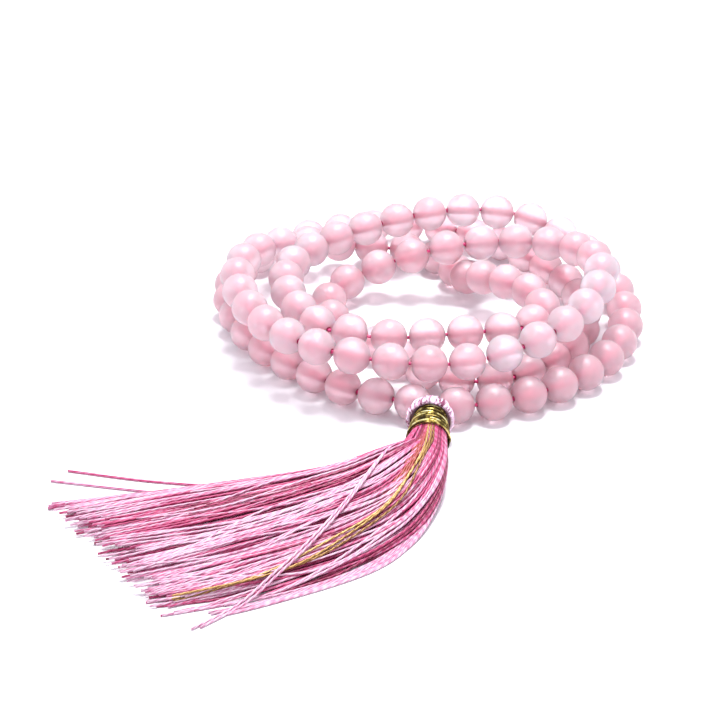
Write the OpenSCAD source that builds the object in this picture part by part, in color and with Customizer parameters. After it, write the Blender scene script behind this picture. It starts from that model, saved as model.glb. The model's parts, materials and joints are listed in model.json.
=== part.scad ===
// A mala: 108 round stone beads threaded on one cord, lying in loose turns on a table,
// with a thread tassel where the cord closes. Millimetres. The table is z = 0, the turns
// lie around the origin, and the tassel leaves them towards -Y and bends to -X.

/* [Beads] */
// Diameter of one bead
bead_d = 7.8; // [7.7:0.05:7.85]
// Diameter of the hole drilled through each bead
bore_d = 1.2; // [1.1:0.1:1.6]

/* [Cord] */
// Diameter of the stringing cord
cord_d = 0.8; // [0.6:0.1:0.9]

/* [Tassel head] */
// Diameter of the ball of folded threads above the binding
cap_d = 10.1; // [9.8:0.1:10.2]
// Diameter of the gold binding where it meets the cap
binding_top_d = 7; // [6.8:0.1:7.2]
// Diameter of the gold binding where the skirt leaves it
binding_d = 9.4; // [9:0.1:9.6]
// Length of the binding along the head
binding_l = 9.4; // [8:0.1:9.4]
// Thickness of the layers of gold wire
binding_wall = 0.8; // [0.5:0.1:1]

/* [Tassel skirt] */
// Height of the bundle of threads just past the binding
skirt_h = 8.8; // [8:0.1:9]
// Height of the bundle where the threads end
skirt_end_h = 2.6; // [2:0.1:4]
// Diameter of one thread
thread_d = 0.5; // [0.4:0.05:0.6]

/* [Hidden] */
$fn = 48;
bead_count = 108;
bead_r = bead_d / 2;
floor_z = bead_r;
// one bead and its share of the gaps, along the cord
pitch = 8.09;
// neighbouring bead centres are never closer than twice this
half_apart = 7.9 / 2;
// from the end of the route to the first bead's place
closing_gap = 0.3;
tube_sides = 8;
path_steps = 12;

// The cord's way round, from the closing point back to it.
f = floor_z;
route = [
    // outer turn on the table, right of the tassel
    [0.3, -51.5, f], [11.5, -50.5, f], [25.5, -43.5, f], [37, -31.5, f], [43, -16, f],
    // climbs at the right and crosses the back on top
    [42.5, 0.5, 4.5], [36.5, 15, 7.5], [24, 25.5, 11], [7.5, 24.5, 13.5], [-8.5, 19, 13],
    // comes forward on the left, then along the front, inside the second turn
    [-22.5, 10, 12.5], [-31, -3, 12.5], [-30.5, -19.5, 13], [-22.5, -34.5, 13],
    [-8, -36.5, 12], [8, -35, 12.5], [19, -32.5, 12],
    // turns inwards and drops to the table inside the ring
    [24.5, -25.5, 12], [22, -14, 12], [11.5, -1, 9], [8, 8, f], [4.5, 17.5, f],
    [-0.5, 22.5, f], [-8, 24, f],
    // second turn: out to the left, along the front and up the right side
    [-19.5, 21.5, 6], [-33.5, 13, 10.5], [-41.5, -1, 13], [-41.5, -17, 13],
    [-35, -32.5, 13], [-24, -44, 13.5], [-8.5, -47.5, 12], [8, -46.5, 11.5],
    [22.5, -41, 14], [33.5, -28.5, 16], [37.5, -12, 17],
    // runs back across the inside and down to the table
    [32, 2.5, 14.5], [18.5, 10, 12.5], [3, 6, 12.5], [-11, 7, 7.5], [-20, 3.5, 4.5],
    // lowest turn, under the others
    [-23, -5, f], [-20, -15, f], [-9, -26.5, f], [0.5, -39, f], [15.5, -40, f],
    [28, -29, f], [34, -14, f], [33, 3, f], [25, 17, f], [14, 30, f], [-3, 36.5, f],
    [-20, 34, f], [-35, 25, f], [-43.5, 10, f],
    // outer turn on the table, left of the tassel
    [-44, -6, 4.5], [-38.5, -21.5, f], [-29, -34, f], [-16, -45.5, f], [-0.3, -51.5, f]
];

// One point of the smooth curve through b and c, with neighbours a and d.
function curve(a, b, c, d, t) =
    0.5 * (2 * b + (c - a) * t + (2 * a - 5 * b + 4 * c - d) * t * t
        + (3 * b - a - 3 * c + d) * t * t * t);
function on_table(p, low) = [p.x, p.y, max(p.z, low)];
function before(p, i) = i == 0 ? 2 * p[0] - p[1] : p[i - 1];
function after(p, i) = i + 2 < len(p) ? p[i + 2] : 2 * p[len(p) - 1] - p[len(p) - 2];
function smooth(p, steps, low) = concat(
    [for (i = [0:len(p) - 2]) for (k = [0:steps - 1])
        on_table(curve(before(p, i), p[i], p[i + 1], after(p, i), k / steps), low)],
    [p[len(p) - 1]]);
function unit(v) = v / norm(v);

path = smooth(route, path_steps, floor_z);
start_point = path[0];
end_point = path[len(path) - 1];
closing_point = (start_point + end_point) / 2;

// The place u along the path: whole part a path point, the rest the way to the next one.
function at(u) = let (i = floor(u)) path[i] + (u - i) * (path[i + 1] - path[i]);
// The first place, from path point i on, that is s away from point c.
function leaves(i, c, s) =
    norm(path[i + 1] - c) < s ? leaves(i + 1, c, s)
    : norm(path[i] - c) >= s ? i
    : let (d = path[i + 1] - path[i], e = path[i] - c, q = e * d)
        i + (sqrt(q * q - d * d * (e * e - s * s)) - q) / (d * d);
// Neighbouring beads meet at these points. Each is one pitch from the one before, and
// farther at a sharp bend, where the sides of the beads would touch.
function meetings(n, u, c, b) = n == 0 ? [] :
    let (v = max(leaves(floor(u), c, pitch), leaves(floor(u), b, 4 * half_apart)), p = at(v))
    concat([p], meetings(n - 1, v, p, c));
first_place = leaves(0, start_point, closing_gap);
first_meeting = at(first_place);
behind = first_meeting - pitch * unit(first_meeting - start_point);
meeting = concat([first_meeting], meetings(bead_count, first_place, first_meeting, behind));
function centre(i) = (meeting[i] + meeting[i + 1]) / 2;
function along(i) = unit(meeting[i + 1] - meeting[i]);

// Runs of the cord, as first and last bead. Runs are parted in the gaps where a turn lifts.
cord_trim = 0.14;
lift_back = [11, 17];
lift_left = [18, 24];
lift_outer = [43, 49];
lift_right = [56, 61];
function run_points(r) = concat(
    r[0] == 0 ? [closing_point, start_point, meeting[0]]
        : [meeting[r[0]] + cord_trim * along(r[0])],
    [for (i = [r[0] + 1:1:r[1]]) meeting[i]],
    r[1] == bead_count - 1 ? [meeting[bead_count], end_point, closing_point]
        : [meeting[r[1] + 1] - cord_trim * along(r[1])]);

// A round tube along a list of points, with one ring at each point. It never runs along the
// upright direction, which sets how its flats are turned.
function heading(p, i) = unit((i + 1 < len(p) ? unit(p[i + 1] - p[i]) : [0, 0, 0])
    + (i > 0 ? unit(p[i] - p[i - 1]) : [0, 0, 0]));
function ring(p, i, r, upright) =
    let (h = heading(p, i), side = unit(cross(upright, h)), up = cross(h, side))
    [for (k = [0:tube_sides - 1]) let (a = 360 * k / tube_sides)
        p[i] + r * (cos(a) * side + sin(a) * up)];
module tube(p, r, upright = [0, 0, 1]) {
    n = tube_sides;
    last = (len(p) - 1) * n;
    points = [for (i = [0:len(p) - 1]) each ring(p, i, r, upright)];
    sides = [for (i = [0:len(p) - 2]) for (k = [0:n - 1])
        let (m = (k + 1) % n) each [
            [i * n + k, (i + 1) * n + k, i * n + m],
            [i * n + m, (i + 1) * n + k, (i + 1) * n + m]]];
    ends = [[for (k = [0:n - 1]) k], [for (k = [0:n - 1]) last + n - 1 - k]];
    polyhedron(points, concat(sides, ends), convexity = 6);
}

// Beads
module bead(i) {
    d = along(i);
    translate(centre(i))
        rotate([0, acos(d.z), atan2(d.y, d.x)])
        difference() {
            sphere(d = bead_d);
            cylinder(h = 2 * bead_d, d = bore_d, center = true);
        }
}
module bead_row(r) {
    for (i = [r[0]:r[1]]) color("pink") bead(i);
}
module single_bead(i) {
    color("lightpink") bead(i);
}

// Each bead near the eye and the hand is a node of its own; the rest are rows.
single_rows = [[0, 3], lift_left, [25, 31], [50, 55], lift_right, [105, 107]];
singles = [for (r = single_rows) for (i = [r[0]:r[1]]) i];
function three_digits(n) = str(n < 100 ? "0" : "", n < 10 ? "0" : "", n);
function bead_name(i) = str("bead_", three_digits(i + 1));

// Cord
module cord_run(r) {
    color("crimson") tube(run_points(r), cord_d / 2);
}

// Tassel head: its axis leaves the strand level with the table. In the head's own frame the
// cap starts at 0 and the head runs up +Z.
head_turn = -4;
head_start = closing_point + [-0.6, -2.9, 5.1 - floor_z];
head_way = [sin(head_turn), -cos(head_turn), 0];
cap_r = cap_d / 2;
cap_rim = 6.3;
cap_wall = 1.5;
cap_hole_r = 1.1;
cavity_r = 2.4;
binding_start = 4.6;
core_end = binding_start + binding_l + 0.1;
module in_head() {
    translate(head_start) rotate([0, 0, head_turn]) rotate([90, 0, 0]) children();
}
// A cylinder on the head's axis between two distances along it.
module head_cut(z1, z2, r) {
    translate([0, z1]) square([r, z2 - z1]);
}

// The tassel's loop comes out of the cap, goes round the cord in the closing gap and back.
loop_r = 0.9;
leg_gap = 0.42;
leg_in = 2.4;
function leg(d, up) = head_start + d * head_way + [0, 0, up * leg_gap];
loop_points = concat(
    [leg(leg_in, 1), leg(0, 1)],
    [for (a = [75:-25:-75])
        closing_point + loop_r * [0, cos(a), sin(a)]],
    [leg(0, -1), leg(leg_in, -1)]);
module tassel_loop() {
    color("deeppink") tube(loop_points, cord_d / 2, [1, 0, 0]);
}
// The folded threads: a ball that overhangs the top of the binding, with room for the knot.
module tassel_cap() {
    color("hotpink") in_head() rotate_extrude()
        difference() {
            intersection() {
                translate([0, cap_r]) circle(d = cap_d);
                head_cut(0, cap_rim, cap_r);
            }
            head_cut(-1, cap_wall + 1, cap_hole_r);
            head_cut(cap_wall, binding_start + 1, cavity_r);
            head_cut(binding_start, cap_rim + 1, binding_top_d / 2 + 0.5);
        }
}
// The knot at the end of the loop, held inside the cap.
module loop_knot() {
    color("deeppink") in_head() translate([0, 0, 3.1]) sphere(d = 2.6);
}
// Threads packed inside the binding.
module thread_core() {
    color("hotpink") in_head() rotate_extrude() polygon([
        [0, binding_start], [binding_top_d / 2 - binding_wall, binding_start],
        [binding_d / 2 - binding_wall, core_end], [0, core_end]]);
}
module gold_binding() {
    end = binding_start + binding_l;
    color("goldenrod") in_head() rotate_extrude() polygon([
        [binding_top_d / 2 - binding_wall, binding_start], [binding_top_d / 2, binding_start],
        [binding_d / 2, end], [binding_d / 2 - binding_wall, end]]);
}

// Tassel skirt: a fan of threads on the table, bending from its round root. u runs from -1 at
// the fan's left edge to 1 at its right edge, t from 0 at the root to 1 at the thread ends.
root_r = 4.2;
neck = head_start + (core_end + root_r + 0.2) * head_way;
neck_half = [4.1, -0.5];
fan_bend = [[-22, -74], [3, -108]];
fan_end = [[-73.5, -84], [-48, -123.5]];
function mix(a, b, u) = a + (b - a) * (1 + u) / 2;
function fan_xy(u, t) =
    let (s = 1 - t)
    s * s * ([neck.x, neck.y] + u * neck_half)
    + 2 * s * t * mix(fan_bend[0], fan_bend[1], u)
    + t * t * mix(fan_end[0], fan_end[1], u);
function fan_h(t) = skirt_h - (skirt_h - skirt_end_h) * (t + t * t) / 2;
function fan_half(t) = norm(fan_xy(1, t) - fan_xy(-1, t)) / 2;
function fan_across(t) = unit(fan_xy(1, t) - fan_xy(-1, t));
function fan_top(u, t) = let (p = fan_xy(u, t)) [p.x, p.y, fan_h(t) * sqrt(max(0, 1 - u * u))];
fan_stations = 14;
fan_arc = 12;
module tassel_skirt() {
    n = fan_arc + 1;
    points = [for (j = [0:fan_stations]) for (k = [0:fan_arc])
        fan_top(-cos(180 * k / fan_arc), j / fan_stations)];
    last = fan_stations * n;
    skin = [for (j = [0:fan_stations - 1]) for (k = [0:fan_arc])
        let (m = (k + 1) % n) each [
            [j * n + k, j * n + m, (j + 1) * n + k],
            [j * n + m, (j + 1) * n + m, (j + 1) * n + k]]];
    ends = [[for (k = [0:fan_arc]) fan_arc - k], [for (k = [0:fan_arc]) last + k]];
    color("hotpink") {
        polyhedron(points, concat(skin, ends), convexity = 4);
        translate(neck) sphere(r = root_r, $fn = 24);
    }
}

// Three gold threads lie side by side on the fan, and run from its middle towards its right edge.
gold_pitch = thread_d + 0.06;
gold_rings = 22;
function gold_lane(n, t) = 0.15 + 0.7 * (1 - (1 - t) * (1 - t)) + (n - 1) * gold_pitch / fan_half(t);
gold_lift = thread_d / 2 - 0.1;
function over_fan(u, t, lift = gold_lift) =
    let (p = fan_top(u, t), e = fan_across(t), up = sqrt(1 - u * u) / fan_h(t),
        out = u / fan_half(t), n = norm([up, out]))
    p + lift * [e.x * out / n, e.y * out / n, up / n];
module gold_thread(n) {
    color("gold") tube([for (k = [0:gold_rings])
        let (t = 0.02 + 0.98 * k / gold_rings)
        over_fan(gold_lane(n, t), t)], thread_d / 2);
}

// Two threads strayed out of the fan on to the table. The third crosses over the fan and the
// gold threads before it lies on the table.
g = thread_d / 2 + 0.05;
crossing_steps = 9;
function crossing_t(k) = 0.02 + 0.79 * k / crossing_steps;
function crossing_lane(t) = max(-0.6, -0.9 + 2.6 * t - 0.5 * t * t);
function crossing_lift(t) = min(0.9, 10 * t - 0.5);
crossing_route = concat(
    [for (k = [0:crossing_steps]) let (t = crossing_t(k))
        over_fan(crossing_lane(t), t, crossing_lift(t))],
    [[-38, -121.5, 0.6], [-46, -129, g]]);
loose_routes = [
    [[-30, -78, g], [-43, -78, g], [-58, -76, g], [-74, -72, g]],
    [[-40, -81, g], [-55, -80.5, g], [-77, -76, g]],
    crossing_route
];
module loose_thread(n) {
    color("hotpink") tube(smooth(loose_routes[n], n < 2 ? 6 : 3, g), thread_d / 2);
}

cord_run([0, 10]);  // cord_outer_right
cord_run(lift_back);  // cord_back_lift
cord_run(lift_left);  // cord_left_lift
cord_run([25, 42]);  // cord_front
cord_run(lift_outer);  // cord_outer_lift
cord_run([50, 55]);  // cord_second
cord_run(lift_right);  // cord_right_lift
cord_run([62, 107]);  // cord_lowest
tassel_loop();
tassel_cap();
loop_knot();
thread_core();
gold_binding();
tassel_skirt();
gold_thread(0);  // gold_thread_1
gold_thread(1);  // gold_thread_2
gold_thread(2);  // gold_thread_3
loose_thread(0);  // loose_thread_1
loose_thread(1);  // loose_thread_2
loose_thread(2);  // loose_thread_3
bead_row([4, 10]);  // beads_outer_right
bead_row(lift_back);  // beads_back_lift
bead_row([32, 42]);  // beads_inner
bead_row(lift_outer);  // beads_outer_lift
bead_row([62, 72]);  // beads_back
bead_row([73, 88]);  // beads_lowest_right
bead_row([89, 104]);  // beads_lowest_left
for (i = singles) single_bead(i);
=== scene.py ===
import json
import math
import random

import bpy
import numpy as np
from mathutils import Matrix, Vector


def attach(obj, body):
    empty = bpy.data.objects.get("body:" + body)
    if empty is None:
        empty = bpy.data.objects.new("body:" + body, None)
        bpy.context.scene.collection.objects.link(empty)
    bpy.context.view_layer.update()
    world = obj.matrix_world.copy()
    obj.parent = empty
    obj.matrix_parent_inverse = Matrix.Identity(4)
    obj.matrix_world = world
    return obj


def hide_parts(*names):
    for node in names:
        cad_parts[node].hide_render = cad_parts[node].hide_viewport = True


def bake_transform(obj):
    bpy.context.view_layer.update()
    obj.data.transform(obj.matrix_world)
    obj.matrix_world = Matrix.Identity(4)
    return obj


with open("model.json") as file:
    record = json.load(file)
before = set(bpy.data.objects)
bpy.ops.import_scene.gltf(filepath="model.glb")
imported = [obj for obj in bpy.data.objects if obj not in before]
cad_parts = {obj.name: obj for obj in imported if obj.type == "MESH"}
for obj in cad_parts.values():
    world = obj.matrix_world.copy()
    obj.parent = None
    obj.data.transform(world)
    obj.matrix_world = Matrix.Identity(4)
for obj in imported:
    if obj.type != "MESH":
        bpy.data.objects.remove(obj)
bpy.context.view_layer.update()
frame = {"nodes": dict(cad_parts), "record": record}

MM = 0.001
UP = np.array([0.0, 0.0, 1.0])
# the range of a random phase
PHASES = 6.28


# ---------------------------------------------------------------- camera, light, floor
CAMERA_PLACE = (-0.0153, -0.5348, 0.2716)
CAMERA_BELOW_LEVEL = math.radians(28)
LENS = 133.3


def make_camera():
    data = bpy.data.cameras.new("camera")
    data.lens = LENS
    data.sensor_width = 36
    data.clip_start, data.clip_end = 0.01, 10
    cam = bpy.data.objects.new("camera", data)
    cam.location = CAMERA_PLACE
    cam.rotation_euler = (math.pi / 2 - CAMERA_BELOW_LEVEL, 0, 0)
    bpy.context.scene.collection.objects.link(cam)
    bpy.context.scene.camera = cam


def area_light(name, place, target, size, power, colour=(1, 1, 1)):
    data = bpy.data.lights.new(name, "AREA")
    data.shape = "DISK"
    data.size, data.energy, data.color = size, power, colour
    lamp = bpy.data.objects.new(name, data)
    lamp.location = place
    way = Vector(target) - Vector(place)
    lamp.rotation_euler = way.to_track_quat("-Z", "Y").to_euler()
    bpy.context.scene.collection.objects.link(lamp)


def make_studio():
    area_light("key", (0.04, 0.10, 0.62), (0, -0.02, 0), 0.24, 5.6)
    area_light("side", (-0.75, 0.35, 0.45), (0, -0.03, 0), 0.5, 1.2, (0.96, 0.97, 1.0))
    world = bpy.data.worlds.new("studio")
    bpy.context.scene.world = world
    world.use_nodes = True
    back = world.node_tree.nodes["Background"]
    back.inputs["Color"].default_value = (0.945, 0.94, 1.0, 1)
    back.inputs["Strength"].default_value = 1.08


# ---------------------------------------------------------------- materials
def material(name):
    mat = bpy.data.materials.new(name)
    mat.use_nodes = True
    tree = mat.node_tree
    return mat, tree, tree.nodes["Principled BSDF"]


def node(tree, kind, **values):
    made = tree.nodes.new(kind)
    for key, value in values.items():
        if key in made.inputs:
            made.inputs[key].default_value = value
        else:
            setattr(made, key, value)
    return made


def ramp(tree, factor, stops):
    made = tree.nodes.new("ShaderNodeValToRGB")
    while len(made.color_ramp.elements) < len(stops):
        made.color_ramp.elements.new(0.5)
    for element, (place, colour) in zip(made.color_ramp.elements, stops):
        element.position = place
        element.color = (*colour, 1)
    tree.links.new(factor, made.inputs["Fac"])
    return made.outputs["Color"]


def maths(tree, operation, a, b=0.0):
    made = node(tree, "ShaderNodeMath", operation=operation)
    for socket, value in zip(made.inputs, (a, b)):
        if isinstance(value, (int, float)):
            socket.default_value = value
        else:
            tree.links.new(value, socket)
    return made.outputs[0]


def noise(tree, scale, detail=2.0, distortion=0.0):
    coordinates = tree.nodes.new("ShaderNodeTexCoord")
    made = node(tree, "ShaderNodeTexNoise", Scale=scale, Detail=detail, Distortion=distortion)
    tree.links.new(coordinates.outputs["Object"], made.inputs["Vector"])
    return made.outputs["Fac"]


def tone(tree):
    made = node(tree, "ShaderNodeAttribute", attribute_name="tone")
    return made.outputs["Fac"]


def bump(tree, shader, height, strength, distance):
    made = node(tree, "ShaderNodeBump", Strength=strength, Distance=distance)
    tree.links.new(height, made.inputs["Height"])
    tree.links.new(made.outputs["Normal"], shader.inputs["Normal"])


def stone_material():
    mat, tree, shader = material("rose_quartz")
    cloud = noise(tree, 150, 3, 0.6)
    wisp = noise(tree, 420, 4, 1.5)
    # the per-bead tone is partly painted shade: it deepens the pink of the stretches that lie low
    # under the upper turns
    mixed = maths(tree, "ADD", maths(tree, "MULTIPLY", tone(tree), 0.65),
                  maths(tree, "MULTIPLY", cloud, 0.45))
    mixed = maths(tree, "ADD", mixed, maths(tree, "MULTIPLY", wisp, 0.12))
    colour = ramp(tree, mixed, [
        (0.20, (0.92, 0.83, 0.88)), (0.5, (0.92, 0.73, 0.78)), (0.85, (0.90, 0.62, 0.68))])
    tree.links.new(colour, shader.inputs["Base Color"])
    shader.inputs["Subsurface Weight"].default_value = 1.0
    shader.inputs["Subsurface Radius"].default_value = (1.0, 0.55, 0.62)
    shader.inputs["Subsurface Scale"].default_value = 3 * MM
    shader.inputs["Transmission Weight"].default_value = 0.68
    shader.inputs["IOR"].default_value = 1.54
    shader.inputs["Roughness"].default_value = 0.4
    bump(tree, shader, noise(tree, 500, 1), 0.06, 0.05 * MM)
    return mat


def bore_material():
    mat, tree, shader = material("bead_bore")
    # the deeper pink of the bore walls is partly the cord's dye and partly painted shade inside the
    # hole
    colour = ramp(tree, noise(tree, 300, 2), [(0.3, (0.85, 0.36, 0.45)), (0.7, (0.76, 0.22, 0.33))])
    tree.links.new(colour, shader.inputs["Base Color"])
    shader.inputs["Roughness"].default_value = 0.6
    bump(tree, shader, noise(tree, 2000, 2), 0.2, 0.03 * MM)
    return mat


def twist_wave(tree, pitch_mm, strands):
    """Waves that wind round a thread: UV runs along the thread in millimetres and round it."""
    uv = tree.nodes.new("ShaderNodeUVMap")
    parts = tree.nodes.new("ShaderNodeSeparateXYZ")
    tree.links.new(uv.outputs["UV"], parts.inputs["Vector"])
    phase = maths(tree, "ADD", maths(tree, "MULTIPLY", parts.outputs["X"], 1 / pitch_mm),
                  maths(tree, "MULTIPLY", parts.outputs["Y"], strands))
    wave = maths(tree, "SINE", maths(tree, "MULTIPLY", phase, 2 * math.pi))
    return maths(tree, "ADD", maths(tree, "MULTIPLY", wave, 0.5), 0.5)


def thread_material(name, stops, pitch_mm=2.0, strands=2, rough=0.42, metallic=0.0, sheen=0.06,
                    tint=(1.0, 0.8, 0.9)):
    mat, tree, shader = material(name)
    wave = twist_wave(tree, pitch_mm, strands)
    mixed = maths(tree, "ADD", maths(tree, "MULTIPLY", tone(tree), 0.78),
                  maths(tree, "MULTIPLY", noise(tree, 420, 2), 0.42))
    # the twist wave also lightens and darkens the colour: painted highlight and shade along the
    # twist, beside its bump
    mixed = maths(tree, "ADD", mixed, maths(tree, "MULTIPLY", wave, -0.26))
    tree.links.new(ramp(tree, mixed, stops), shader.inputs["Base Color"])
    uneven = maths(tree, "MULTIPLY", noise(tree, 700, 2), 0.2)
    tree.links.new(maths(tree, "ADD", uneven, rough - 0.1), shader.inputs["Roughness"])
    shader.inputs["Metallic"].default_value = metallic
    shader.inputs["Sheen Weight"].default_value = sheen
    shader.inputs["Sheen Roughness"].default_value = 0.35
    shader.inputs["Sheen Tint"].default_value = (*tint, 1)
    bump(tree, shader, wave, 0.7, 0.09 * MM)
    return mat


def wire_material():
    mat, tree, shader = material("gold_wire")
    # the patches, the fine noise and the tone swing the gold from near black to pale yellow:
    # painted reflection and shade over the wire's olive-gold colour
    reflection_patches = noise(tree, 620, 3, 0.8)
    fine = noise(tree, 2600, 2)
    mixed = maths(tree, "ADD", maths(tree, "MULTIPLY", reflection_patches, 1.1),
                  maths(tree, "MULTIPLY", fine, 0.5))
    mixed = maths(tree, "ADD", mixed, maths(tree, "MULTIPLY", tone(tree), 0.75))
    colour = ramp(tree, maths(tree, "ADD", mixed, -0.75), [
        (0.2, (0.04, 0.025, 0.006)), (0.44, (0.20, 0.14, 0.03)), (0.58, (0.66, 0.54, 0.16)),
        (0.8, (0.95, 0.92, 0.52))])
    tree.links.new(colour, shader.inputs["Base Color"])
    shader.inputs["Metallic"].default_value = 0.85
    shader.inputs["Roughness"].default_value = 0.28
    bump(tree, shader, fine, 0.5, 0.06 * MM)
    return mat


def floor_material():
    mat, tree, shader = material("studio_floor")
    colour = ramp(tree, noise(tree, 6, 2), [(0.3, (0.80, 0.80, 0.83)), (0.7, (0.82, 0.82, 0.85))])
    tree.links.new(colour, shader.inputs["Base Color"])
    shader.inputs["Roughness"].default_value = 0.7
    return mat


# ---------------------------------------------------------------- meshes
# pieces that follow the tassel's head inside the binding and the skirt beyond its root
BENDING = "tassel_head to skirt"


class Builder:
    """Gathers swept and turned shapes into one mesh with a UV map and a tone for each shape."""

    def __init__(self):
        self.points, self.faces, self.uvs, self.tones = [], [], [], []
        self.count, self.bores = 0, []

    def grid(self, rows, uv_rows, value, closed_ends=True):
        """Joins rings of points into a skin. uv_rows gives each ring's place along, in mm."""
        rings, n = len(rows), len(rows[0])
        start = self.count
        self.points.extend(np.asarray(rows).reshape(-1, 3))
        self.tones.extend(np.repeat(np.broadcast_to(value, rings), n).tolist())
        self.count += rings * n
        for j in range(rings - 1):
            a, b = start + j * n, start + (j + 1) * n
            u, w = uv_rows[j], uv_rows[j + 1]
            for k in range(n):
                m = (k + 1) % n
                self.faces.append((a + k, a + m, b + m, b + k))
                self.uvs.extend([(u, k / n), (u, (k + 1) / n), (w, (k + 1) / n), (w, k / n)])
        if closed_ends:
            for ring, u, flip in ((0, uv_rows[0], True), (rings - 1, uv_rows[-1], False)):
                base = start + ring * n
                face = [base + k for k in range(n)]
                self.faces.append(tuple(face[::-1] if flip else face))
                self.uvs.extend([(u, 0.5)] * n)

    def tube(self, path, radius, sides=6, value=0.5, upright=UP, lobes=0, twist_mm=2.0, depth=0.0):
        """A thread along a path in millimetres, round or of twisted strands."""
        path = np.asarray(path, float)
        steps = np.diff(path, axis=0)
        lengths = np.linalg.norm(steps, axis=1)
        ways = steps / lengths[:, None]
        headings = np.vstack([ways[:1], ways[1:] + ways[:-1], ways[-1:]])
        headings /= np.linalg.norm(headings, axis=1)[:, None]
        side = np.cross(upright, headings)
        side /= np.linalg.norm(side, axis=1)[:, None]
        up = np.cross(headings, side)
        along = np.concatenate([[0], np.cumsum(lengths)])
        angles = np.arange(sides) * 2 * math.pi / sides
        radii = radius if np.ndim(radius) else np.full(len(path), radius)
        rows = []
        for p, s, u, d, r in zip(path, side, up, along, radii):
            rr = r * (1 - depth + depth * np.abs(np.cos(
                lobes * (angles - 2 * math.pi * d / twist_mm) / 2))) if lobes else np.full(sides, r)
            rows.append(p + (rr * np.cos(angles))[:, None] * s + (rr * np.sin(angles))[:, None] * u)
        self.grid(rows, along, value)

    def turned(self, profile, centre, axis, segments=40, value=0.5, closed=False):
        """Turns a profile of (distance along, radius) points round an axis."""
        axis = np.asarray(axis, float)
        other = UP if abs(axis[2]) < 0.9 else np.array([1.0, 0, 0])
        side = np.cross(other, axis)
        side /= np.linalg.norm(side)
        up = np.cross(axis, side)
        angles = np.arange(segments) * 2 * math.pi / segments
        ring = np.cos(angles)[:, None] * side + np.sin(angles)[:, None] * up
        rows = [centre + h * axis + r * ring for h, r in profile]
        self.grid(rows, [h for h, r in profile], value, closed_ends=not closed)
        if closed:
            first, last = self.count - len(rows) * segments, self.count - segments
            for k in range(segments):
                m = (k + 1) % segments
                self.faces.append((last + k, last + m, first + m, first + k))
                self.uvs.extend([(0, k / segments)] * 4)

    def finish(self, name, mat, body, slot, *nodes):
        mesh = bpy.data.meshes.new(name)
        mesh.from_pydata((np.array(self.points) * MM).tolist(), [], self.faces)
        mesh.uv_layers.new(name="UVMap").data.foreach_set("uv", np.array(self.uvs).ravel())
        mesh.attributes.new("tone", "FLOAT", "POINT").data.foreach_set("value", self.tones)
        mesh.shade_smooth()
        mesh.materials.append(mat)
        if self.bores:
            mesh.materials.append(bpy.data.materials["bead_bore"])
            places = np.zeros(len(self.faces), np.int32)
            places[self.bores] = 1
            mesh.polygons.foreach_set("material_index", places)
        mesh.update()
        piece = bpy.data.objects.new(name, mesh)
        bpy.context.scene.collection.objects.link(piece)
        if body == BENDING:
            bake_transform(piece)
        else:
            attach(piece, body)
        if nodes:
            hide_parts(*nodes)
        return piece


# ---------------------------------------------------------------- the strand's way round
BEAD_D, BORE_D, CORD_D = 7.8, 1.2, 0.8
BEADS, PITCH, HALF_APART, CLOSING_GAP = 108, 8.09, 7.9 / 2, 0.3
F = BEAD_D / 2
ROUTE = [
    (0.3, -51.5, F), (11.5, -50.5, F), (25.5, -43.5, F), (37, -31.5, F), (43, -16, F),
    (42.5, 0.5, 4.5), (36.5, 15, 7.5), (24, 25.5, 11), (7.5, 24.5, 13.5), (-8.5, 19, 13),
    (-22.5, 10, 12.5), (-31, -3, 12.5), (-30.5, -19.5, 13), (-22.5, -34.5, 13),
    (-8, -36.5, 12), (8, -35, 12.5), (19, -32.5, 12),
    (24.5, -25.5, 12), (22, -14, 12), (11.5, -1, 9), (8, 8, F), (4.5, 17.5, F),
    (-0.5, 22.5, F), (-8, 24, F),
    (-19.5, 21.5, 6), (-33.5, 13, 10.5), (-41.5, -1, 13), (-41.5, -17, 13),
    (-35, -32.5, 13), (-24, -44, 13.5), (-8.5, -47.5, 12), (8, -46.5, 11.5),
    (22.5, -41, 14), (33.5, -28.5, 16), (37.5, -12, 17),
    (32, 2.5, 14.5), (18.5, 10, 12.5), (3, 6, 12.5), (-11, 7, 7.5), (-20, 3.5, 4.5),
    (-23, -5, F), (-20, -15, F), (-9, -26.5, F), (0.5, -39, F), (15.5, -40, F),
    (28, -29, F), (34, -14, F), (33, 3, F), (25, 17, F), (14, 30, F), (-3, 36.5, F),
    (-20, 34, F), (-35, 25, F), (-43.5, 10, F),
    (-44, -6, 4.5), (-38.5, -21.5, F), (-29, -34, F), (-16, -45.5, F), (-0.3, -51.5, F)]


def smooth(points, steps, low):
    """A smooth curve through the points, never lower than low."""
    p = [np.array(q, float) for q in points]
    p = [2 * p[0] - p[1]] + p + [2 * p[-1] - p[-2]]
    curve = []
    for a, b, c, d in zip(p, p[1:], p[2:], p[3:]):
        for t in np.arange(steps) / steps:
            q = 0.5 * (2 * b + (c - a) * t + (2 * a - 5 * b + 4 * c - d) * t * t
                       + (3 * b - a - 3 * c + d) * t ** 3)
            curve.append((q[0], q[1], max(q[2], low)))
    curve.append(tuple(p[-2]))
    return np.array(curve)


def leaves(path, i, centre, reach):
    """The first place on the path, from point i on, that is reach away from centre."""
    while np.linalg.norm(path[i + 1] - centre) < reach:
        i += 1
    if np.linalg.norm(path[i] - centre) >= reach:
        return float(i)
    d, e = path[i + 1] - path[i], path[i] - centre
    q = e @ d
    return i + (math.sqrt(q * q - d @ d * (e @ e - reach * reach)) - q) / (d @ d)


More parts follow.
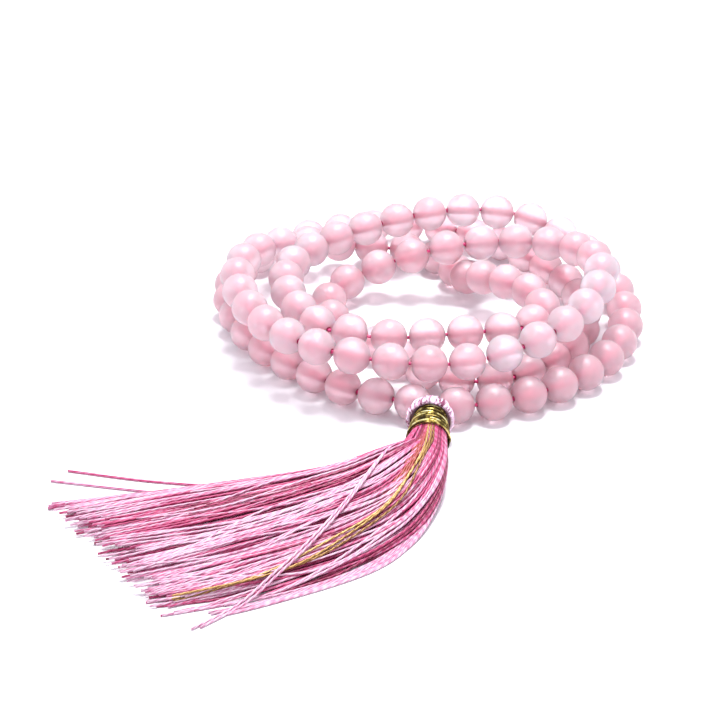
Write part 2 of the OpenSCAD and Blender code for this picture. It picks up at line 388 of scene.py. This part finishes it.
def meetings():
    """The points where neighbouring beads meet, from one end of the cord to the other."""
    path = smooth(ROUTE, 12, F)

    def at(u):
        i = int(u)
        return path[i] + (u - i) * (path[i + 1] - path[i])

    u = leaves(path, 0, path[0], CLOSING_GAP)
    points = [at(u)]
    way = points[0] - path[0]
    behind = points[0] - PITCH * way / np.linalg.norm(way)
    for _ in range(BEADS):
        i = int(u)
        u = max(leaves(path, i, points[-1], PITCH), leaves(path, i, behind, 4 * HALF_APART))
        behind = points[-1]
        points.append(at(u))
    return path, np.array(points)


PATH, MEET = meetings()
CLOSING = (PATH[0] + PATH[-1]) / 2


# ---------------------------------------------------------------- beads
SEGMENTS, PROFILE_STEPS, HOLE_EASE = 40, 26, 0.16


def bead_profile():
    """Half a bead's outline from one mouth of its hole to the other, with eased edges."""
    r, bore = BEAD_D / 2, BORE_D / 2
    edge = bore + HOLE_EASE
    start = math.asin(edge / r)
    mouth = math.sqrt(r * r - edge * edge)
    outline = [(0.0, bore), (-mouth + HOLE_EASE * 0.9, bore)]
    outline.append((-mouth + HOLE_EASE * 0.25, bore + HOLE_EASE * 0.35))
    for k in range(PROFILE_STEPS + 1):
        a = start + (math.pi - 2 * start) * k / PROFILE_STEPS
        outline.append((-r * math.cos(a), r * math.sin(a)))
    outline.append((mouth - HOLE_EASE * 0.25, bore + HOLE_EASE * 0.35))
    outline.append((mouth - HOLE_EASE * 0.9, bore))
    return outline


def add_bead(build, i, value):
    """Bead i, with the faces of its hole noted so that they get their own material."""
    centre = (MEET[i] + MEET[i + 1]) / 2
    way = MEET[i + 1] - MEET[i]
    first = len(build.faces)
    build.turned(bead_profile(), centre, way / np.linalg.norm(way), SEGMENTS, value, closed=True)
    build.bores.extend(range(first, first + SEGMENTS))
    build.bores.extend(range(len(build.faces) - 2 * SEGMENTS, len(build.faces)))


# tone of each stretch of the strand, partly painted shade: the stretches low on the table, under
# the upper turns, get a deeper pink than the raised ones: last bead of the stretch, tone
STRETCH_TONE_AND_SHADE = [(3, 0.70), (10, 0.66), (17, 0.30), (24, 0.34), (31, 0.45), (42, 0.62), (49, 0.28),
          (55, 0.45), (61, 0.12), (66, 0.40), (72, 0.66), (88, 0.72), (104, 0.70), (107, 0.66)]


def bead_tones(rng):
    values = []
    for i in range(BEADS):
        middle = next(v for last, v in STRETCH_TONE_AND_SHADE if i <= last)
        values.append(min(1.0, max(0.0, middle + rng.uniform(-0.16, 0.16))))
    return values


ROWS = {"beads_outer_right": (4, 10), "beads_back_lift": (11, 17), "beads_inner": (32, 42),
        "beads_outer_lift": (43, 49), "beads_back": (62, 72), "beads_lowest_right": (73, 88),
        "beads_lowest_left": (89, 104)}
BODY_OF_NODE = {n: body for body, names in frame["record"]["behaviour"]["bodies"].items()
                for n in names}


def make_beads(mat, rng):
    values = bead_tones(rng)
    in_rows = set()
    for name, (first, last) in ROWS.items():
        build = Builder()
        for i in range(first, last + 1):
            add_bead(build, i, values[i])
            in_rows.add(i)
        build.finish("stone_" + name, mat, BODY_OF_NODE[name], "stone", name)
    for i in range(BEADS):
        if i not in in_rows:
            name = "bead_%03d" % (i + 1)
            build = Builder()
            add_bead(build, i, values[i])
            build.finish("stone_" + name, mat, BODY_OF_NODE[name], "stone", name)


# ---------------------------------------------------------------- cord
CORD_RUNS = {"cord_outer_right": (0, 10), "cord_back_lift": (11, 17), "cord_left_lift": (18, 24),
             "cord_front": (25, 42), "cord_outer_lift": (43, 49), "cord_second": (50, 55),
             "cord_right_lift": (56, 61), "cord_lowest": (62, 107)}
CORD_TRIM = 0.14


def finer(points, step):
    """The same line with points no more than step apart."""
    out = [points[0]]
    for a, b in zip(points, points[1:]):
        n = max(1, int(np.linalg.norm(b - a) / step))
        out.extend(a + (b - a) * (k + 1) / n for k in range(n))
    return np.array(out)


def make_cord(mat):
    for name, (first, last) in CORD_RUNS.items():
        line = [MEET[i] for i in range(first, last + 2)]
        if first == 0:
            line = [CLOSING, PATH[0]] + line
        else:
            way = line[1] - line[0]
            line[0] = line[0] + CORD_TRIM * way / np.linalg.norm(way)
        if last == BEADS - 1:
            line = line + [PATH[-1], CLOSING]
        else:
            way = line[-1] - line[-2]
            line[-1] = line[-1] - CORD_TRIM * way / np.linalg.norm(way)
        build = Builder()
        build.tube(finer(line, 0.3), CORD_D / 2, 12, 0.5, lobes=3, twist_mm=3.2, depth=0.32)
        build.finish("twisted_" + name, mat, BODY_OF_NODE[name], "stringing_cord", name)


# ---------------------------------------------------------------- tassel head
HEAD_TURN = math.radians(-4)
HEAD_START = CLOSING + np.array([-0.6, -2.9, 5.1 - F])
HEAD_WAY = np.array([math.sin(HEAD_TURN), -math.cos(HEAD_TURN), 0])
HEAD_SIDE = np.array([math.cos(HEAD_TURN), math.sin(HEAD_TURN), 0])
CAP_R, CAP_RIM, CAP_HOLE_R = 5.05, 6.3, 1.1
BINDING_START, BINDING_L, BINDING_TOP_R, BINDING_R, BINDING_WALL = 4.6, 9.4, 3.5, 4.7, 0.8
CORE_END = BINDING_START + BINDING_L + 0.1
CORE_RADIUS = BINDING_R - BINDING_WALL - 0.15
# two places along the head, inside the binding, where a thread's visible part is anchored
ANCHORS = (CORE_END - 2.5, CORE_END - 0.6)
LOOP_R, LEG_GAP = 0.9, 0.42
WIRE_R, WRAP_STEPS = 0.21, 44
CAP_THREAD_R, CAP_HOLE_ANGLE = 0.165, 17


def head_point(along, radius, angle):
    """A point in the head's own frame: how far along, how far out, and which way round."""
    return (HEAD_START + along * HEAD_WAY
            + radius * (math.cos(angle) * HEAD_SIDE + math.sin(angle) * UP))


def binding_radius(along):
    part = (along - BINDING_START) / BINDING_L
    return BINDING_TOP_R + (BINDING_R - BINDING_TOP_R) * min(1, max(0, part))


def make_loop(mat):
    """The doubled cord that leaves the cap and goes round the stringing cord."""
    out = [HEAD_START + d * HEAD_WAY + [0, 0, LEG_GAP] for d in (2.4, 1.2, 0)]
    back = [HEAD_START + d * HEAD_WAY - [0, 0, LEG_GAP] for d in (0, 1.2, 2.4)]
    turn = [CLOSING + LOOP_R * np.array([0, math.cos(a), math.sin(a)])
            for a in np.radians(np.arange(75, -76, -12.5))]
    line = finer(np.array(out + turn + back), 0.25)
    build = Builder()
    build.tube(line, CORD_D / 2, 10, 0.6, upright=np.array([1.0, 0, 0]), lobes=3,
               twist_mm=2.4, depth=0.3)
    build.finish("twisted_tassel_loop", mat, "loop", "tassel_thread", "tassel_loop")


def make_cap(mat, inner_mat, rng):
    """Folded threads: they come out of the hole, run over the ball and tuck in at the rim."""
    body = Builder()
    outline = [(CAP_R - (CAP_R - 0.55) * math.cos(a), (CAP_R - 0.55) * math.sin(a))
               for a in np.radians(np.linspace(CAP_HOLE_ANGLE, 104, 24))]
    outline += [(CAP_RIM - 0.4, BINDING_TOP_R + 0.6), (BINDING_START + 0.2, BINDING_TOP_R + 0.35),
                (BINDING_START, 2.5), (1.6, 2.5), (1.5, CAP_HOLE_R)]
    # the body under the cap threads has a deeper tone than they do: painted shade in the gaps
    # between them
    body.turned(outline, HEAD_START, HEAD_WAY, 48, 0.8, closed=True)
    body.finish("cap_inside", inner_mat, "tassel_head", "tassel_thread")
    build = Builder()
    for layer, count, depth in ((0, 84, 0.36), (1, 78, 0.2)):
        for k in range(count):
            turn = 2 * math.pi * (k + rng.uniform(-0.3, 0.3)) / count
            swirl = rng.uniform(0.1, 0.6) * (1 if rng.random() < 0.7 else -0.8)
            r = CAP_R - depth - rng.uniform(0, 0.12)
            line = [head_point(0.25, CAP_HOLE_R + 0.12, turn)]
            for a in np.linspace(CAP_HOLE_ANGLE, 100 + rng.uniform(-4, 4), 16):
                part = (a - CAP_HOLE_ANGLE) / 85
                wob = 0.05 * math.sin(6 * part + turn * 5)
                line.append(head_point(CAP_R - r * math.cos(math.radians(a)),
                                       (r + wob) * math.sin(math.radians(a)), turn + swirl * part))
            line.append(head_point(CAP_RIM - 0.15, r * 0.93, turn + swirl))
            line.append(head_point(CAP_RIM - 0.5, BINDING_TOP_R + 0.75, turn + swirl))
            value = rng.uniform(-0.1, 0.5) if rng.random() < 0.85 else 1.2
            build.tube(line, CAP_THREAD_R, 6, value, upright=np.array([0.13, 0.2, 0.97]))
    build.finish("cap_threads", mat, "tassel_head", "tassel_thread", "tassel_cap")


def make_binding(mat, rng):
    """Gold wire wound round the threads: one close layer and a looser one over it."""
    build = Builder()
    phases = [rng.uniform(0, 6.3) for _ in range(8)]
    for layer, (turns, inset, wander) in enumerate(((23, 0.50, 0.06), (15, 0.24, 0.30))):
        count = turns * WRAP_STEPS
        line = []
        for k in range(count + 1):
            part = k / count
            angle = 2 * math.pi * turns * part * (1 if layer == 0 else -1)
            shift = wander * (math.sin(angle * 0.5 + phases[0]) + math.sin(
                angle * 1.31 + phases[1]) * 0.6 + math.sin(turns * 2.1 * part + phases[2]))
            first, last = BINDING_START + WIRE_R, BINDING_START + BINDING_L - WIRE_R
            along = first + (BINDING_L - 2 * WIRE_R) * part
            along = min(last, max(first, along + shift))
            ripple = 0.035 * math.sin(angle * 2.3 + phases[3]) + 0.035 * math.sin(angle * 0.37)
            line.append(head_point(along, binding_radius(along) - inset + ripple, angle))
        turn = np.linspace(0, 2 * math.pi * turns, count + 1)
        # painted reflection: the tone swings light and dark along the wire's turns
        reflection_tone = 0.42 + 0.22 * np.sin(0.83 * turn + phases[4]) + 0.2 * np.sin(2.3 * turn + phases[5])
        build.tube(line, WIRE_R, 6, reflection_tone + 0.12 * np.sin(5.1 * turn), upright=HEAD_WAY)
    build.finish("gold_wire", mat, "tassel_head", "gold_thread", "gold_binding")


# ---------------------------------------------------------------- tassel skirt
# u runs from -1 at the fan's left edge to 1 at its right edge, t from 0 at its root to 1 at the
# thread ends, h from 0 on the table to 1 at the top of the fan
ROOT_R = 4.2
NECK = HEAD_START + (CORE_END + ROOT_R + 0.2) * HEAD_WAY
NECK_HALF = np.array([4.1, -0.5])
FAN_BEND = np.array([(-22, -74), (3, -108)], float)
FAN_END = np.array([(-73.5, -84), (-48, -123.5)], float)
SKIRT_H, SKIRT_END_H, THREAD_D = 8.8, 2.6, 0.5
# a thread's centre when it lies on the table
G = THREAD_D / 2 + 0.05
NECK_T = 0.42
SKIRT_THREADS, EDGE_THREADS, THREAD_STEPS, GOLDEN_PART = 320, 11, 40, 0.618034


def between(pair, u):
    return pair[0] + (pair[1] - pair[0]) * (1 + u) / 2


def fan_xy(u, t):
    """A place in the fan seen from above, on a curve that bends from the root to the ends."""
    s = 1 - t
    return (s * s * (NECK[:2] + u * NECK_HALF) + 2 * s * t * between(FAN_BEND, u)
            + t * t * between(FAN_END, u))


def fan_h(t):
    return SKIRT_H - (SKIRT_H - SKIRT_END_H) * (t + t * t) / 2


def fan_point(u, h, t):
    u = max(-1.0, min(1.0, u))
    p = fan_xy(u, t)
    return np.array([p[0], p[1], h * fan_h(t) * math.sqrt(max(0.0, 1 - u * u))])


def root_point(u, h, along, radius):
    """The same thread's place in the round bundle inside the binding."""
    half = math.sqrt(max(0.0, 1 - u * u))
    return (HEAD_START + along * HEAD_WAY + u * radius * HEAD_SIDE
            + (2 * h - 1) * half * radius * UP)


def neck_part(t):
    """How far the threads still keep to the round bundle: 1 at the root, 0 from NECK_T on."""
    early = max(0.0, 1 - t / NECK_T)
    return early * early * (3 - 2 * early)


def skirt_thread(u, h, end, wander, rng):
    """A thread of the fan, which drifts, waves and kinks a little more towards its end."""
    r = THREAD_D / 2
    freq, phase = rng.uniform(0.6, 1.4), rng.uniform(0, PHASES)
    amp_h, phase_h = rng.uniform(0.0, 0.06), rng.uniform(0, PHASES)
    drift = rng.uniform(-1, 1) * wander * 1.5
    kink, kink_at = rng.uniform(-0.05, 0.05), rng.uniform(0.5, 0.9)
    line = [root_point(u, h, along, CORE_RADIUS) for along in ANCHORS]
    for t in np.linspace(0.045, end, THREAD_STEPS):
        grow = t * t * (3 - 2 * t)
        uu = u + grow * (drift * t + wander * math.sin(freq * PHASES * t + phase))
        uu += kink * max(0.0, t - kink_at) * 3
        hh = min(1.0, max(0.0, h + amp_h * grow * math.sin(5 * t + phase_h)))
        p = fan_point(max(-0.995, min(0.995, uu)), hh, t)
        q = root_point(u, h, CORE_END, CORE_RADIUS * (1 + t))
        p[2] += neck_part(t) * (q[2] - p[2])
        p[2] = max(p[2], r + 0.02)
        line.append(p)
    return np.array(line)


def edge_thread(out, end, rng):
    """A thread of the loose bundle that slides off the right edge on to the table."""
    u, phase = rng.uniform(0.75, 0.95), rng.uniform(0, PHASES)
    line = [root_point(u, 0.6, along, CORE_RADIUS) for along in ANCHORS]
    for t in np.linspace(0.05, end, THREAD_STEPS):
        part = min(1.0, t / 0.6)
        side = u + (out - u) * part * part * (3 - 2 * part) + 0.02 * math.sin(9 * t + phase)
        p = fan_xy(side, t)
        z = THREAD_D / 2 + 0.03 + 5 * max(0.0, 1 - t / 0.5) ** 2 + 0.8 * (1 - t) * (1.15 - out)
        line.append(np.array([p[0], p[1], z]))
    return np.array(line)


CROSSING_STEPS = 9
CROSSING_END = [(-38, -121.5, 0.6), (-46, -129, G)]


def crossing_lane(t):
    return max(-0.6, -0.9 + 2.6 * t - 0.5 * t * t)


def crossing_lift(t):
    return min(0.9, 10 * t - 0.5)


def crossing_thread(shift):
    """A pale thread that runs slantwise over the fan and off its right edge on to the table.

    shift is how far a second one lies beside it at the end, in millimetres.
    """
    keys = [root_point(-0.6, 0.9, along, CORE_RADIUS) for along in (CORE_END - 2.5, CORE_END)]
    places = [0.02 + 0.79 * k / CROSSING_STEPS for k in range(CROSSING_STEPS + 1)]
    route = [over_fan(crossing_lane(t), t, crossing_lift(t)) for t in places]
    route += [np.array(q) for q in CROSSING_END]
    last = len(route) - 1
    keys += [q + [shift * k / last, 0.35 * shift, 0] for k, q in enumerate(route)]
    return smooth(keys, 6, G)


def make_skirt(mat, rng):
    """The fan's threads, darker low down (painted shade under the top threads) and near their root,
    paler towards their far ends, and the loose bundle at its edge.
    """
    build = Builder()
    for k in range(SKIRT_THREADS):
        u = -0.97 + 1.94 * (k * GOLDEN_PART % 1)
        h = 1 - 0.9 * rng.random() ** 1.3
        end = 1 + rng.gauss(0, 0.025)
        wander = 0.03 + 0.05 * rng.random()
        # painted shade: threads lower in the fan get a deeper tone
        value = rng.gauss(0.40, 0.34) + 0.5 * (1 - h)
        if rng.random() < 0.09:
            wander, h, value = 0.16, 1.0, rng.uniform(-0.1, 0.2)
        if u > 0.8:
            value -= 0.15
        line = skirt_thread(u, h, min(1.04, end), wander, rng)
        along = np.linspace(0, 1, len(line))
        near_root, near_end = 1 - along / 0.35, (along - 0.8) / 0.15
        tone_along_thread = value + 0.45 * np.clip(near_root, 0, 1) - 0.3 * np.clip(near_end, 0, 1)
        build.tube(line, THREAD_D / 2 * rng.uniform(0.85, 1.05), 6, np.clip(tone_along_thread, 0, 1))
    for k in range(EDGE_THREADS):
        line = edge_thread(1.0 + 0.15 * rng.random(), rng.uniform(0.86, 1.0), rng)
        build.tube(line, THREAD_D / 2 * rng.uniform(0.85, 1.0), 6, rng.uniform(0, 0.25))
    build.tube(crossing_thread(1.6), THREAD_D / 2, 6, 0.05)
    build.finish("skirt_threads", mat, BENDING, "tassel_thread", "tassel_skirt")


GOLD_PITCH = THREAD_D + 0.06
GOLD_STEPS = 60


def fan_half(t):
    return np.linalg.norm(fan_xy(1, t) - fan_xy(-1, t)) / 2


def gold_lane(n, t):
    return 0.15 + 0.7 * (1 - (1 - t) ** 2) + (n - 1) * GOLD_PITCH / fan_half(t)


def over_fan(u, t, lift):
    """A point of the fan's top, lifted square to its surface."""
    p = fan_point(u, 1.0, t)
    e = fan_xy(1, t) - fan_xy(-1, t)
    half = np.linalg.norm(e) / 2
    e /= 2 * half
    up, out = math.sqrt(1 - u * u) / fan_h(t), u / half
    n = math.hypot(up, out)
    return p + lift * np.array([e[0] * out / n, e[1] * out / n, up / n])


def over_threads(u, t, lift):
    """over_fan, raised near the root to where the fan's own threads lie."""
    rise = root_point(u, 1.0, CORE_END, CORE_RADIUS * (1 + t))[2] - fan_point(u, 1.0, t)[2]
    return over_fan(u, t, lift) + neck_part(t) * max(0.0, rise) * UP


def make_gold_threads(mat):
    """Three gilt threads side by side on the fan; the outer two sink into it towards its end."""
    for lane in range(3):
        places = 0.03 + 0.97 * np.arange(GOLD_STEPS + 1) / GOLD_STEPS
        line = [root_point(gold_lane(lane, 0), 1.0, along, CORE_RADIUS) for along in ANCHORS]
        for t in places:
            swing = 0.4 * math.sin(PHASES * 1.2 * t + 2.1 * lane) + 0.25 * math.sin(17 * t + lane)
            sunk = (0.0 if lane == 1 else 0.9) * max(0.0, t - 0.62) / 0.38
            side = gold_lane(lane, t) + swing * min(1, 3 * t) / fan_half(t)
            line.append(over_threads(side, t, THREAD_D / 2 + 0.25 - sunk))
        line = np.array(line)
        build = Builder()
        build.tube(finer(line, 0.3), THREAD_D / 2, 8, 0.3 + 0.25 * lane, lobes=2, twist_mm=2.6,
                   depth=0.3)
        piece = build.finish("gilt_thread_%d" % (lane + 1), mat, BENDING, "gold_thread",
                             "gold_thread_%d" % (lane + 1))


def make_coral_threads(mat, rng):
    """Orange-red threads beside the gold ones near the head; they sink into the fan."""
    build = Builder()
    for k in range(4):
        line = [root_point(0.1 - 0.06 * k, 1.0, along, CORE_RADIUS) for along in ANCHORS]
        for t in np.linspace(0.03, 0.7, THREAD_STEPS):
            side = gold_lane(0, t) - (k + 1) * 0.42 / fan_half(t) * (1 + 0.5 * t)
            line.append(over_threads(side, t, 0.12 - 0.08 * k - 2.5 * max(0.0, t - 0.25)))
        build.tube(line, THREAD_D / 2, 6, rng.uniform(0.1, 0.9))
    build.finish("coral_threads", mat, BENDING, "tassel_thread")


LOOSE_ROUTES = [
    [(-30, -78, G), (-43, -78, G), (-58, -76, G), (-74, -72, G)],
    [(-40, -81, G), (-55, -80.5, G), (-77, -76, G)]]


def make_loose_threads(mat):
    """Two threads that strayed out on to the table, and the one that crosses the fan."""
    lines = [smooth(route, 12, G) for route in LOOSE_ROUTES] + [crossing_thread(0.0)]
    for k, line in enumerate(lines):
        build = Builder()
        build.tube(line, THREAD_D / 2, 8, (0.45, 0.2, 0.0)[k])
        body = "skirt" if k < len(LOOSE_ROUTES) else BENDING
        piece = build.finish("stray_thread_%d" % (k + 1), mat, body, "tassel_thread",
                             "loose_thread_%d" % (k + 1))


# ---------------------------------------------------------------- all of it
def make_floor():
    bpy.ops.mesh.primitive_plane_add(size=6, location=(0, 0, 0))
    floor = bpy.context.object
    floor.name = "studio_floor"
    floor.data.materials.append(floor_material())


def main():
    rng = random.Random(11)
    make_camera()
    pink = [(0.0, (0.72, 0.50, 0.61)), (0.22, (0.56, 0.22, 0.37)), (0.46, (0.52, 0.05, 0.17)),
            (0.85, (0.17, 0.004, 0.04))]
    skirt_mat = thread_material("skirt_thread", pink)
    # the dark-brown end of the gilt ramp is painted shade on the gold threads
    gilt = thread_material("gilt_thread", [(0.0, (0.70, 0.52, 0.26)), (0.4, (0.46, 0.27, 0.08)),
                                           (0.8, (0.16, 0.06, 0.015))],
                           rough=0.4, metallic=0.35, sheen=0.05, tint=(1, 0.9, 0.6))
    make_gold_threads(gilt)
    make_loose_threads(skirt_mat)
    cord_mat = thread_material("stringing_cord", [(0.0, (0.75, 0.08, 0.26)),
                                                  (1.0, (0.45, 0.02, 0.10))], pitch_mm=3.2)
    make_cord(cord_mat)
    make_loop(thread_material("loop_cord", [(0.0, (0.9, 0.5, 0.68)), (1.0, (0.7, 0.12, 0.35))],
                              pitch_mm=2.4))
    bore_material()
    make_beads(stone_material(), rng)
    pale = [(0.0, (0.86, 0.72, 0.84)), (0.5, (0.80, 0.50, 0.68)), (1.0, (0.22, 0.03, 0.10))]
    make_cap(thread_material("cap_thread", pale), thread_material("cap_inside", pale), rng)
    wire = wire_material()
    make_binding(wire, rng)
    coral = thread_material("coral_thread", [(0.1, (0.42, 0.09, 0.06)), (0.8, (0.20, 0.01, 0.02))])
    make_coral_threads(coral, rng)
    make_skirt(skirt_mat, rng)
    for name in ("loop_knot", "thread_core"):
        frame["nodes"][name].data.materials.clear()
        frame["nodes"][name].data.materials.append(skirt_mat)
    make_studio()
    make_floor()


main()
bpy.context.scene.view_settings.view_transform = "Standard"
